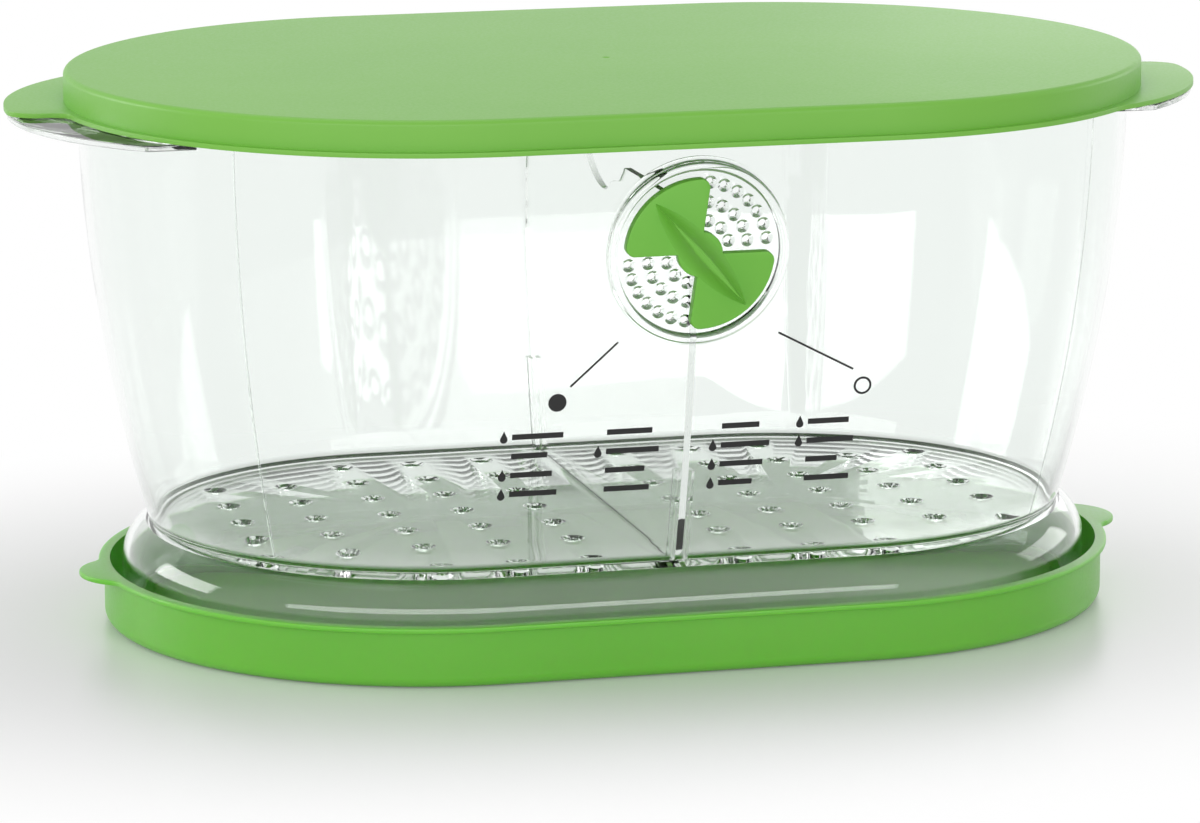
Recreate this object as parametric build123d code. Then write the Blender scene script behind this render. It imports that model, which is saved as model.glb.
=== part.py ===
from build123d import *

import os
from math import asin, cos, degrees, hypot, radians, sin, sqrt

os.makedirs("parts", exist_ok=True)

# Sizes are in millimetres. X runs along the keeper, the vent faces -Y and Z is up.
# The origin is the middle of the face that the tray rests on.

# Plan: every level is two half circles joined by straight sides.
half_straight = 49.3  # from the middle to the centre of a round end

# Clear container: a barrel wall on a flared foot
container_radius = 92.35  # outer radius of a round end where the wall stands upright
upright_height = 148.3  # height at which the curved wall stands upright
wall_curve = 424.0  # radius of the wall's outward curve, seen from the end
container_wall = 2.0
floor_height = 25.2  # underside of the perforated floor
floor_thickness = 2.2
floor_corner = 3.0  # inside corner between floor and wall
rim_height = 146.2
rim_bead_height = 3.0
rim_bead_reach = 1.3  # how far the rim bead stands out of the wall

# Foot that flares out of the container and stands in the tray
foot_step = 7.452  # how far the foot stands out beyond the wall at the floor
foot_wall = 2.0
shoulder_curve = 12.55
shoulder_height = 16.0  # where the shoulder turns into the upright foot
foot_draft = 0.4  # how far the foot narrows on its way down

# Carrying ledges at the two ends of the container
ledge_curve = 75.0  # radius of the ledge's outer edge
ledge_reach = 18.9  # beyond the container's wall
ledge_half_width = 56.5
ledge_thickness = 1.6
ledge_corner = 2.2

# Drain holes in the floor, in a square grid that misses the divider
drain_radius = 2.4
drain_pitch = 20.0
drain_edge = 6.9  # least distance from the floor's edge to a hole's centre

# Guides that hold the divider, on the front and back walls
guide_width = 1.3
guide_depth = 4.0
guide_height = 25.0

# Divider
divider_thickness = 1.8
divider_play = 0.2  # each side, in the guides
divider_wall_gap = 0.5
divider_drop = 24.2  # from the rim down to the top of the divider
divider_corner = 20.0
divider_stem_gap = 0.8  # inward of the vent's stem
divider_scoop_radius = 30.0
divider_scoop_depth = 9.0

# Vent in the front wall
vent_drop = 34.7  # from the rim down to the middle of the vent
vent_face_thickness = 2.0
vent_ring_radius = 23.8
vent_ring_wall = 2.4
vent_ring_rise = 2.0  # above the wall
vent_ring_inset = 1.8  # into the wall
vent_ring_round = 0.8
vent_hole_radius = 1.0
vent_rows = ((18.3, 7, 12.0), (13.2, 5, 17.0), (8.4, 3, 27.0))  # radius, holes, degrees apart

# Dial that turns on the vent
dial_radius = 19.7
dial_thickness = 2.6
dial_gap = 0.4  # between the dial and the perforated face
leaf_angle = 97.0
leaf_corner = 2.4
dial_edge_round = 0.5
hub_radius = 5.9
collar_radius = 5.0  # the hub's back, which rides on the face
collar_play = 0.05
grip_length = 37.0
grip_width = 9.0
grip_height = 5.6
grip_crest_length = 29.0
grip_crest_width = 1.6
stem_radius = 3.0
stem_play = 0.1
snap_radius = 3.9
snap_play = 0.3
snap_length = 2.2
snap_slot = 1.2

# Lid
lid_play = 0.4  # between the rim bead and the skirt
lid_wall = 1.6
lid_thickness = 1.8
lid_seat_gap = 0.3
lid_depth = 9.2
lid_edge_round = 1.5
lip_reach = 2.2
lip_thickness = 1.2
tab_curve = 75.0
tab_reach = 14.0  # beyond the lip
tab_back_edge = 7.0  # how far past the middle the tab's straight edge lies
tab_corner = 8.0
tab_root_round = 5.0
tab_front_blend = 25.0
plug_play = 0.6
plug_thickness = 1.2
plug_depth = 3.0

# Tray
tray_play = 3.2  # between the foot and the tray's wall
tray_wall = 1.5
tray_height = 16.2
tray_floor = 2.0
tray_corner = 3.0
flange_reach = 1.5
flange_thickness = 1.4
tray_tab_curve = 15.0
tray_tab_reach = 6.4
tray_tab_blend = 6.0
locating_rib_play = 0.8  # inward of the foot
locating_rib_thickness = 1.2
locating_rib_height = 3.0


def wall_radius(height, depth=0.0):
    """Radius of a round end at this height, on the surface lying depth inside the outer wall."""
    drop = upright_height - height
    curve = wall_curve - depth
    return container_radius - wall_curve + sqrt(curve**2 - drop**2)


# Levels and radii that follow from the sizes above
floor_top = floor_height + floor_thickness
foot_radius = wall_radius(floor_top) + foot_step
vent_height = rim_height - vent_drop
divider_top = rim_height - divider_drop
foot_bottom = tray_floor
bead_radius = container_radius + rim_bead_reach
lid_inner_radius = bead_radius + lid_play
lid_radius = lid_inner_radius + lid_wall
lip_radius = lid_radius + lip_reach
lid_underside = rim_height + lid_seat_gap
lid_top = lid_underside + lid_thickness
skirt_bottom = lid_top - lid_depth
ledge_top = skirt_bottom - lid_seat_gap
tray_inner_radius = foot_radius + tray_play
tray_radius = tray_inner_radius + tray_wall
flange_radius = tray_radius + flange_reach
vent_inner_radius = vent_ring_radius - vent_ring_wall
vent_tilt = degrees(asin((upright_height - vent_height) / wall_curve))
open_angle = 180.0 - leaf_angle / 2  # direction of the first leaf, seen from the front


def stadium(radius):
    """Plan outline whose round ends have this radius."""
    return SlotCenterToCenter(2 * half_straight, 2 * radius)


def carried_round(section):
    """Solid made by carrying a section, drawn as radius and height, round the plan."""
    front = Rot(0, 0, -90) * section
    end = Pos(half_straight, 0, 0) * revolve(front, axis=Axis.Z, revolution_arc=180)
    side = extrude(Pos(-half_straight, 0, 0) * front, amount=2 * half_straight, dir=(1, 0, 0))
    half = end + side
    return half + Rot(0, 0, 180) * half


def section_between(low, high, outer_depth, inner_depth):
    """Slice of the barrel wall between two heights and two depths inside its outer surface."""
    middle = (low + high) / 2
    with BuildSketch(Plane.XZ) as sketch:
        with BuildLine():
            outer = ThreePointArc(
                (wall_radius(low, outer_depth), low),
                (wall_radius(middle, outer_depth), middle),
                (wall_radius(high, outer_depth), high),
            )
            inner = ThreePointArc(
                (wall_radius(high, inner_depth), high),
                (wall_radius(middle, inner_depth), middle),
                (wall_radius(low, inner_depth), low),
            )
            Line(outer @ 1, inner @ 0)
            Line(inner @ 1, outer @ 0)
        make_face()
    return sketch.sketch


def box_section(inner_radius, outer_radius, low, high):
    """Rectangular section between two radii and two heights."""
    centre = ((inner_radius + outer_radius) / 2, (low + high) / 2)
    with BuildSketch(Plane.XZ) as sketch:
        with Locations(centre):
            Rectangle(outer_radius - inner_radius, high - low)
    return sketch.sketch


def plate(outline, low, thickness):
    """Flat plate with this outline, from this height up."""
    return extrude(Pos(0, 0, low) * outline, amount=thickness, dir=(0, 0, 1))


def container_section():
    """Section of the container: floor, barrel wall and flared foot in one moulding."""
    shoulder_centre = foot_radius - shoulder_curve
    inner_curve = shoulder_curve - foot_wall
    meeting = sqrt(inner_curve**2 - (floor_height - shoulder_height) ** 2)
    wall_foot = shoulder_height + sqrt(shoulder_curve**2 - (wall_radius(floor_top) - shoulder_centre) ** 2)
    halfway = radians(35)  # a point halfway along the shoulder's curve
    slope = sin(halfway)
    rise = cos(halfway)
    middle = (wall_foot + rim_height) / 2
    inner_middle = (floor_top + rim_height) / 2
    with BuildSketch(Plane.XZ) as sketch:
        with BuildLine():
            shoulder = ThreePointArc(
                (wall_radius(wall_foot), wall_foot),
                (shoulder_centre + shoulder_curve * rise, shoulder_height + shoulder_curve * slope),
                (foot_radius, shoulder_height),
            )
            foot = Polyline(
                shoulder @ 1,
                (foot_radius - foot_draft, foot_bottom),
                (foot_radius - foot_draft - foot_wall, foot_bottom),
                (foot_radius - foot_wall, shoulder_height),
            )
            inner_shoulder = ThreePointArc(
                foot @ 1,
                (shoulder_centre + inner_curve * rise, shoulder_height + inner_curve * slope),
                (shoulder_centre + meeting, floor_height),
            )
            floor = Polyline(
                inner_shoulder @ 1,
                (0, floor_height),
                (0, floor_top),
                (wall_radius(floor_top, container_wall), floor_top),
            )
            inside = ThreePointArc(
                floor @ 1,
                (wall_radius(inner_middle, container_wall), inner_middle),
                (wall_radius(rim_height, container_wall), rim_height),
            )
            Line(inside @ 1, (wall_radius(rim_height), rim_height))
            ThreePointArc(
                (wall_radius(rim_height), rim_height),
                (wall_radius(middle), middle),
                shoulder @ 0,
            )
        make_face()
    return sketch.sketch


def inside_corner_section():
    """Fillet that fills the corner between the floor and the wall."""
    edge = wall_radius(floor_top + floor_corner, container_wall)
    with BuildSketch(Plane.XZ) as sketch:
        with BuildLine():
            hollow = ThreePointArc(
                (edge, floor_top + floor_corner),
                (edge - floor_corner * (1 - cos(radians(45))), floor_top + floor_corner * (1 - sin(radians(45)))),
                (edge - floor_corner, floor_top),
            )
            Polyline(
                hollow @ 1,
                (wall_radius(floor_top, container_wall) + container_wall / 2, floor_top),
                (edge + container_wall / 2, floor_top + floor_corner),
                hollow @ 0,
            )
        make_face()
    return sketch.sketch


def tab_outline(reach_radius, curve):
    """Round tab at the right-hand end that reaches this far from the centre of the round end."""
    centre = half_straight + reach_radius - curve
    return Pos(centre, 0) * Rot(0, 0, 180) * Circle(curve)


def both_ends(shape):
    """A right-hand shape and its copy turned half round to the left-hand end."""
    return shape + Rot(0, 0, 180) * shape


def ledge_outline():
    """Outline of one carrying ledge, outside the middle of the container's wall."""
    wall_middle = wall_radius(ledge_top, container_wall / 2)
    tab = tab_outline(container_radius + ledge_reach, ledge_curve)
    strip = Pos(half_straight + container_radius, 0) * Rectangle(2 * container_radius, 2 * ledge_half_width)
    outline = tab & strip
    corners = outline.vertices().filter_by(lambda v: v.X > half_straight + ledge_half_width / 2)
    outline = fillet(corners, ledge_corner)
    return outline - stadium(wall_middle)


def vent_plane():
    """Plane on the outside of the front wall, square to it at the vent, with its Z outward."""
    origin = (0, -wall_radius(vent_height), vent_height)
    outward = (0, -cos(radians(vent_tilt)), -sin(radians(vent_tilt)))
    return Plane(origin=origin, x_dir=(1, 0, 0), z_dir=outward)


def vent_hole_places():
    """Centres of the vent's holes, in the two quadrants that the open dial leaves free."""
    places = []
    for radius, count, step in vent_rows:
        for index in range(count):
            angle = 45 + (index - (count - 1) / 2) * step
            for turn in (0, 180):
                places.append((radius, angle + turn))
    return places


def disc(radius, low, high):
    """Round disc on the local Z axis between two local heights."""
    return Pos(0, 0, (low + high) / 2) * Cylinder(radius, high - low)


def vent_cut():
    """What the vent takes out of the wall."""
    return disc(vent_inner_radius, -3 * container_wall, 3 * container_wall)


def vent_body():
    """Ring and perforated face of the vent, in the vent's own plane."""
    ring = disc(vent_ring_radius, -vent_ring_inset, vent_ring_rise)
    ring = fillet(ring.faces().sort_by(Axis.Z)[-1].edges(), vent_ring_round)
    ring -= disc(vent_inner_radius, -2 * vent_ring_inset, 2 * vent_ring_rise)
    face = disc(vent_inner_radius + vent_ring_wall / 2, -vent_face_thickness, 0)
    face -= disc(stem_radius + stem_play, -2 * vent_face_thickness, vent_face_thickness)
    hole = disc(vent_hole_radius, -2 * vent_face_thickness, vent_face_thickness)
    for radius, angle in vent_hole_places():
        face -= Rot(0, 0, angle) * Pos(radius, 0, 0) * hole
    return ring + face


def drain_places():
    """Centres of the drain holes: a grid inside the floor's edge, clear of the divider."""
    reach = wall_radius(floor_top, container_wall) - drain_edge
    columns = int((half_straight + reach) / drain_pitch)
    rows = int(reach / drain_pitch)
    places = []
    for column in range(1, columns + 1):
        for row in range(-rows, rows + 1):
            x = column * drain_pitch
            y = row * drain_pitch
            if hypot(max(x - half_straight, 0), y) <= reach:
                places += [(x, y), (-x, y)]
    return places


def guides():
    """Two pairs of upright ribs, front and back, that hold the divider's edges."""
    band = section_between(floor_top - floor_thickness / 2, floor_top + guide_height, container_wall / 2, container_wall + guide_depth)
    ring = carried_round(band)
    slot = divider_thickness / 2 + divider_play
    rib = Box(guide_width, 3 * container_radius, 2 * guide_height)
    pair = Pos(0, 0, floor_top + guide_height / 2) * (
        Pos(slot + guide_width / 2, 0, 0) * rib + Pos(-slot - guide_width / 2, 0, 0) * rib
    )
    return ring & pair


def make_container():
    """Clear container in one moulding, with its ledges, guides, drain holes and vent."""
    body = carried_round(container_section())
    body += carried_round(inside_corner_section())
    bead = box_section(
        wall_radius(rim_height, container_wall / 2),
        bead_radius,
        rim_height - rim_bead_height,
        rim_height,
    )
    body += carried_round(bead)
    body += both_ends(plate(ledge_outline(), ledge_top - ledge_thickness, ledge_thickness))
    body += guides()
    drill = Cylinder(drain_radius, 3 * floor_thickness)
    for x, y in drain_places():
        body -= Pos(x, y, floor_height + floor_thickness / 2) * drill
    place = vent_plane().location
    body -= place * vent_cut()
    body += place * vent_body()
    return body


def make_divider():
    """Clear panel across the middle, which follows the walls and lifts out of its guides."""
    stem_tip = vent_face_thickness + snap_play + snap_length
    stem_inner = wall_radius(vent_height) - stem_tip
    widest = stem_inner - divider_stem_gap
    depth = container_wall + divider_wall_gap
    drop = sqrt((wall_curve - depth) ** 2 - (widest - container_radius + wall_curve) ** 2)
    turn = upright_height - drop
    middle = (floor_top + turn) / 2
    top = divider_top
    start = wall_radius(floor_top, depth) - floor_corner
    with BuildSketch(Plane.YZ) as sketch:
        with BuildLine():
            side = ThreePointArc(
                (wall_radius(floor_top + floor_corner, depth), floor_top + floor_corner),
                (wall_radius(middle, depth), middle),
                (widest, turn),
            )
            over = Polyline(side @ 1, (widest, top), (0, top))
            under = Polyline((0, floor_top), (start, floor_top), side @ 0)
            Line(over @ 1, under @ 0)
        make_face()
        mirror(about=Plane.YZ)
    outline = sketch.sketch
    corners = outline.vertices().filter_by(lambda v: v.Z > top - 1 and abs(v.Y) > divider_corner)
    outline = fillet(corners, divider_corner)
    panel = extrude(Pos(-divider_thickness / 2, 0, 0) * outline, amount=divider_thickness, dir=(1, 0, 0))
    scoop_centre = top + divider_scoop_radius - divider_scoop_depth
    scoop = Pos(0, 0, scoop_centre) * Rot(0, 90, 0) * Cylinder(divider_scoop_radius, 3 * divider_thickness)
    return panel - scoop


def leaf_outline(direction):
    """One leaf of the dial, a rounded sector pointing in this direction."""
    half = radians(leaf_angle / 2)
    reach = 2 * dial_radius
    wedge = Polygon(
        (0, 0),
        (reach * cos(half), -reach * sin(half)),
        (reach, 0),
        (reach * cos(half), reach * sin(half)),
        align=None,
    )
    leaf = wedge & Rot(0, 0, 180) * Circle(dial_radius)
    corners = leaf.vertices().filter_by(lambda v: v.X > dial_radius / 4)
    return Rot(0, 0, direction) * fillet(corners, leaf_corner)


def lens(length, width):
    """Pointed leaf outline made of two arcs, lying along X."""
    with BuildSketch() as sketch:
        with BuildLine():
            upper = ThreePointArc((-length / 2, 0), (0, width / 2), (length / 2, 0))
            ThreePointArc(upper @ 1, (0, -width / 2), upper @ 0)
        make_face()
    return sketch.sketch


def make_dial():
    """Bow-tie dial with its grip, stem and snap head, in the vent's own plane, shown open."""
    outline = leaf_outline(open_angle) + leaf_outline(open_angle + 180) + Circle(hub_radius)
    dial = extrude(Pos(0, 0, dial_gap) * outline, amount=dial_thickness, dir=(0, 0, 1))
    dial = fillet(dial.faces().sort_by(Axis.Z)[-1].edges(), dial_edge_round)
    front = dial_gap + dial_thickness
    base = Pos(0, 0, front - dial_edge_round) * lens(grip_length, grip_width)
    crest = Pos(0, 0, front + grip_height) * lens(grip_crest_length, grip_crest_width)
    grip = loft([base.face(), crest.face()])
    dial += Rot(0, 0, open_angle) * grip
    dial += disc(collar_radius, collar_play, front - dial_edge_round)
    snap_start = -vent_face_thickness - snap_play
    snap_end = snap_start - snap_length
    stem = disc(stem_radius, snap_end + 0.5, front - dial_edge_round)
    head = Pos(0, 0, (snap_start + snap_end) / 2) * Cone(stem_radius - 0.4, snap_radius, snap_length)
    slot = Pos(0, 0, snap_end) * Box(snap_slot, 4 * snap_radius, 2 * (snap_length + vent_face_thickness / 2))
    return dial + ((stem + head) - slot)


def lid_section():
    """Section of the lid: flat top, skirt and the plug rib inside the container's mouth."""
    plug_outer = wall_radius(lid_underside - plug_depth, container_wall) - plug_play
    with BuildSketch(Plane.XZ) as sketch:
        with BuildLine():
            Polyline(
                (0, lid_top),
                (lid_radius, lid_top),
                (lid_radius, skirt_bottom),
                (lid_inner_radius, skirt_bottom),
                (lid_inner_radius, lid_underside),
                (plug_outer, lid_underside),
                (plug_outer, lid_underside - plug_depth),
                (plug_outer - plug_thickness, lid_underside - plug_depth),
                (plug_outer - plug_thickness, lid_underside),
                (0, lid_underside),
                (0, lid_top),
            )
        make_face()
    shape = sketch.sketch
    edge = shape.vertices().filter_by(lambda v: v.X > lid_radius - 0.1 and v.Z > lid_top - 0.1)
    return fillet(edge, lid_edge_round)


def lip_outline():
    """Outline of the lid's lip with its two staggered pull tabs."""
    tab = tab_outline(lip_radius + tab_reach, tab_curve)
    front_part = Pos(half_straight + lip_radius, tab_back_edge - tab_curve) * Rectangle(2 * lip_radius, 2 * tab_curve)
    tab = tab & front_part
    outer_corner = tab.vertices().filter_by(
        lambda v: v.X > half_straight + lip_radius and v.Y > tab_back_edge - 0.1
    )
    tab = fillet(outer_corner, tab_corner)
    outline = stadium(lip_radius) + both_ends(tab)
    roots = outline.vertices().filter_by(
        lambda v: abs(v.X) > half_straight + 1 and abs((abs(v.X) - half_straight) ** 2 + v.Y**2 - lip_radius**2) < 1
    )
    back_roots = [v for v in roots if abs(v.Y) < tab_corner + tab_back_edge]
    outline = fillet(back_roots, tab_root_round)
    front_roots = outline.vertices().filter_by(
        lambda v: abs(v.Y) > lip_radius / 2
        and abs(v.X) > half_straight + 1
        and abs((abs(v.X) - half_straight) ** 2 + v.Y**2 - lip_radius**2) < 1
    )
    return fillet(front_roots, tab_front_blend)


def make_lid():
    """Green lid whose skirt drops over the rim, with a lip and two pull tabs."""
    lip = plate(lip_outline() - stadium(lid_radius - lid_wall / 2), skirt_bottom, lip_thickness)
    return carried_round(lid_section()) + lip


def tray_section():
    """Section of the tray: flat floor, upright wall and the rib that keeps the foot in place."""
    rib_outer = foot_radius - foot_draft - foot_wall - locating_rib_play
    with BuildSketch(Plane.XZ) as sketch:
        with BuildLine():
            Polyline(
                (0, 0),
                (tray_radius, 0),
                (tray_radius, tray_height),
                (tray_inner_radius, tray_height),
                (tray_inner_radius, tray_floor),
                (rib_outer, tray_floor),
                (rib_outer, tray_floor + locating_rib_height),
                (rib_outer - locating_rib_thickness, tray_floor + locating_rib_height),
                (rib_outer - locating_rib_thickness, tray_floor),
                (0, tray_floor),
                (0, 0),
            )
        make_face()
    shape = sketch.sketch
    corner = shape.vertices().filter_by(lambda v: v.X > tray_radius - 0.1 and v.Z < 0.1)
    return fillet(corner, tray_corner)


def flange_outline():
    """Outline of the tray's flange with a small finger tab at each end."""
    tab = tab_outline(flange_radius + tray_tab_reach, tray_tab_curve)
    outline = stadium(flange_radius) + both_ends(tab)
    roots = outline.vertices().filter_by(lambda v: abs(v.X) > half_straight + 1)
    return fillet(roots, tray_tab_blend)


def make_tray():
    """Green water tray that the container's foot stands in."""
    flange = plate(
        flange_outline() - stadium(tray_radius - tray_wall / 2),
        tray_height - flange_thickness,
        flange_thickness,
    )
    return carried_round(tray_section()) + flange


pieces = {
    "tray": make_tray(),
    "container": make_container(),
    "divider": make_divider(),
    "lid": make_lid(),
    "vent_dial": vent_plane().location * make_dial(),
}
for name, piece in pieces.items():
    export_step(piece, f"parts/{name}.step")
    print(name, "solids", len(piece.solids()), "volume", round(piece.volume))
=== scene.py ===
import math

import bmesh
import bpy
from mathutils import Matrix, Vector


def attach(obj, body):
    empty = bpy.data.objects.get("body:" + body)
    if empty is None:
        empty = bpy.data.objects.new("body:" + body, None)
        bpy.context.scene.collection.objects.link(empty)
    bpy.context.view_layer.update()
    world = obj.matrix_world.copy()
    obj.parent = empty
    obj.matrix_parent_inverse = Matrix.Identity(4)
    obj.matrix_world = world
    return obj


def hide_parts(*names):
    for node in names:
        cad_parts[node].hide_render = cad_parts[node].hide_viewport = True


# Shapes are worked out in millimetres and brought to metres once, when a piece is finished.
# X runs along the keeper, the vent faces -Y and the tray stands on Z = 0.

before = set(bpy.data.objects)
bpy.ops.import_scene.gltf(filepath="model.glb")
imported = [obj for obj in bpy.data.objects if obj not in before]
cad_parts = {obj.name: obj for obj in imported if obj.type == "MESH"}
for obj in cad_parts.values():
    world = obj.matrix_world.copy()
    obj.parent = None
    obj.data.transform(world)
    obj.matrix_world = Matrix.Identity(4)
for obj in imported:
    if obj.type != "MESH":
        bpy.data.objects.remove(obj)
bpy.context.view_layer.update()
print("frame loaded")

mm = 0.001

plan = {
    "halfStraight": 49.3,  # from the middle to the centre of a round end
    "turnSteps": 96,  # faces round each end
    "straightSteps": 8,  # faces along each side
}

wall = {
    "radius": 92.35,  # round end, where the wall stands upright
    "uprightHeight": 148.3,
    "curve": 424.0,  # the barrel shape, seen from the end
    "thickness": 2.0,
    "steps": 30,
}


def wallRadius(height, depth=0.0):
    drop = wall["uprightHeight"] - height
    return wall["radius"] - wall["curve"] + math.sqrt((wall["curve"] - depth) ** 2 - drop**2)


# Small tools for outlines, solids and finished pieces

merge = {  # points closer than this become one
    "outline": 0.01,
    "round": 0.005,
    "drill": 0.001,
    "finished": 0.0005,
}
level = 0.01  # two heights closer than this are the same
seam = {"bite": 0.8, "step": 0.02}  # a joined plate goes into the wall, and its faces miss the wall's


def only(items, kind):
    return [item for item in items if isinstance(item, kind)]


def isLevel(edge):
    return abs(edge.verts[0].co.z - edge.verts[1].co.z) < level


def isUpright(edge):
    return abs(edge.verts[0].co.z - edge.verts[1].co.z) > 1


def polar(centre, radius, degrees):
    angle = math.radians(degrees)
    return (centre[0] + radius * math.cos(angle), centre[1] + radius * math.sin(angle))


def direction(centre, point):
    return math.degrees(math.atan2(point[1] - centre[1], point[0] - centre[0]))


def touching(centreA, reachA, centreB, reachB):
    # the centre that lies at these two distances, on the -Y side of the line between them
    apart = centreB[0] - centreA[0]
    along = (reachA**2 - reachB**2 + apart**2) / (2 * apart)
    return (centreA[0] + along, -math.sqrt(reachA**2 - along**2))


def drawPath(bm, start, moves, height=0.0, arcStep=4.0):
    # draws a chain of edges: each move is a run to a point, or a turn about a centre
    last = bm.verts.new((start[0], start[1], height))
    chain = [last]
    for move in moves:
        if len(move) == 2:
            made = bmesh.ops.extrude_vert_indiv(bm, verts=[last])["verts"]
            made[0].co = (move[0], move[1], height)
            last = made[0]
            chain.append(last)
            continue
        centre, angle = (move[0], move[1]), move[2]
        steps = max(3, int(abs(angle) / arcStep))
        before = set(bm.verts)
        spun = bmesh.ops.spin(
            bm, geom=[last], cent=(*centre, height), axis=(0, 0, 1), angle=math.radians(angle), steps=steps
        )
        last = only(spun["geom_last"], bmesh.types.BMVert)[0]
        chain += [vert for vert in bm.verts if vert not in before and vert is not last] + [last]
    return chain


def fillPlate(bm, low, thickness):
    # turns the closed chain of edges in bm into a solid plate
    bmesh.ops.remove_doubles(bm, verts=bm.verts, dist=merge["outline"])
    bmesh.ops.contextual_create(bm, geom=list(bm.edges))
    raised = bmesh.ops.extrude_face_region(bm, geom=list(bm.faces))
    verts = only(raised["geom"], bmesh.types.BMVert)
    bmesh.ops.translate(bm, verts=verts, vec=(0, 0, thickness))
    bmesh.ops.translate(bm, verts=bm.verts, vec=(0, 0, low))
    bmesh.ops.recalc_face_normals(bm, faces=bm.faces)


def halfTurnCopy(bm):
    made = bmesh.ops.duplicate(bm, geom=list(bm.verts) + list(bm.edges) + list(bm.faces))
    verts = only(made["geom"], bmesh.types.BMVert)
    bmesh.ops.rotate(bm, verts=verts, cent=(0, 0, 0), matrix=Matrix.Rotation(math.pi, 3, "Z"))


def closeEnds(bm):
    # joins the loose ends of two half outlines with the straight sides
    bmesh.ops.remove_doubles(bm, verts=bm.verts, dist=merge["outline"])
    ends = [vert for vert in bm.verts if len(vert.link_edges) == 1]
    for side in (1, -1):
        pair = [vert for vert in ends if vert.co.y * side > 0]
        if len(pair) == 2:
            bm.edges.new(pair)


def carryRound(profile):
    # carries a section, drawn as radius and height, round the keeper's plan
    bm = bmesh.new()
    half = plan["halfStraight"]
    verts = [bm.verts.new((half, -radius, height)) for radius, height in profile]
    edges = [bm.edges.new(pair) for pair in zip(verts, verts[1:])]
    geom = verts + edges
    for side in (1, -1):
        turned = bmesh.ops.spin(
            bm, geom=geom, cent=(side * half, 0, 0), axis=(0, 0, 1), angle=math.pi, steps=plan["turnSteps"]
        )
        edges = only(turned["geom_last"], bmesh.types.BMEdge)
        for step in range(plan["straightSteps"]):
            run = bmesh.ops.extrude_edge_only(bm, edges=edges)["geom"]
            moved = only(run, bmesh.types.BMVert)
            bmesh.ops.translate(bm, verts=moved, vec=(-side * 2 * half / plan["straightSteps"], 0, 0))
            ends = set(moved)
            edges = [
                edge for edge in only(run, bmesh.types.BMEdge)
                if edge.verts[0] in ends and edge.verts[1] in ends
            ]
        geom = moved + edges
    bmesh.ops.remove_doubles(bm, verts=bm.verts, dist=merge["round"])
    bmesh.ops.recalc_face_normals(bm, faces=bm.faces)
    return bm


def spinRound(profile, steps=96):
    # a round solid about Z, from a section drawn as radius and height
    bm = bmesh.new()
    verts = [bm.verts.new((radius, 0, height)) for radius, height in profile]
    edges = [bm.edges.new(pair) for pair in zip(verts, verts[1:])]
    if profile[0][0] > 0:
        edges.append(bm.edges.new((verts[-1], verts[0])))
    bmesh.ops.spin(
        bm, geom=verts + edges, cent=(0, 0, 0), axis=(0, 0, 1), angle=2 * math.pi, steps=steps, use_merge=True
    )
    bmesh.ops.remove_doubles(bm, verts=bm.verts, dist=merge["drill"])
    bmesh.ops.recalc_face_normals(bm, faces=bm.faces)
    return bm


def post(bm, centre, radiusLow, radiusHigh, low, high, steps=24):
    # adds an upright round post or cone to bm
    place = Matrix.Translation((centre[0], centre[1], (low + high) / 2))
    bmesh.ops.create_cone(
        bm, cap_ends=True, segments=steps, radius1=radiusLow, radius2=radiusHigh,
        depth=high - low, matrix=place,
    )


def joinPosts(bm, height):
    # posts that stand end to end at this height lose the caps between them
    bmesh.ops.remove_doubles(bm, verts=bm.verts, dist=merge["drill"])
    caps = [
        face for face in bm.faces
        if len(face.verts) > 4 and abs(face.calc_center_median().z - height) < level
    ]
    bmesh.ops.delete(bm, geom=caps, context="FACES")


def block(bm, lowCorner, highCorner):
    low, high = Vector(lowCorner), Vector(highCorner)
    place = Matrix.Translation((low + high) / 2) @ Matrix.Diagonal(high - low).to_4x4()
    return bmesh.ops.create_cube(bm, size=1.0, matrix=place)["verts"]


def roundEdges(bm, chosen, width):
    edges = [edge for edge in bm.edges if chosen(edge)]
    bmesh.ops.bevel(
        bm, geom=edges, offset=width, offset_type="OFFSET", affect="EDGES", segments=3,
        profile=0.5, material=-1, clamp_overlap=True,
    )


def isSharp(edge, least=40.0):
    return len(edge.link_faces) == 2 and edge.calc_face_angle(0.0) > math.radians(least)


def asObject(bm, name):
    mesh = bpy.data.meshes.new(name)
    bm.to_mesh(mesh)
    bm.free()
    piece = bpy.data.objects.new(name, mesh)
    bpy.context.scene.collection.objects.link(piece)
    return piece


def addInto(bm, other):
    scrap = bpy.data.meshes.new("scrap")
    other.to_mesh(scrap)
    other.free()
    bm.from_mesh(scrap)
    bpy.data.meshes.remove(scrap)


def carve(piece, *cuts):
    # each cut is an operation and a tool, which is used up
    for operation, tool in cuts:
        modifier = piece.modifiers.new(operation, "BOOLEAN")
        modifier.object = tool
        modifier.operation = operation
        modifier.solver = "EXACT"
    graph = bpy.context.evaluated_depsgraph_get()
    carved = bpy.data.meshes.new_from_object(piece.evaluated_get(graph))
    piece.modifiers.clear()
    piece.data = carved
    for operation, tool in cuts:
        bpy.data.objects.remove(tool)
    return piece


def finishPiece(piece, material, body, nodes=(), sharpAngle=30.0):
    mesh = piece.data
    bm = bmesh.new()
    bm.from_mesh(mesh)
    bmesh.ops.remove_doubles(bm, verts=bm.verts, dist=merge["finished"])
    bmesh.ops.scale(bm, verts=bm.verts, vec=(mm, mm, mm))
    bm.to_mesh(mesh)
    bm.free()
    mesh.polygons.foreach_set("use_smooth", [True] * len(mesh.polygons))
    mesh.set_sharp_from_angle(angle=math.radians(sharpAngle))
    mesh.materials.clear()
    mesh.materials.append(material)
    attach(piece, body)
    if nodes:
        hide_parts(*nodes)
    print(piece.name, len(mesh.polygons), "faces")
    return piece


# Materials

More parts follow.
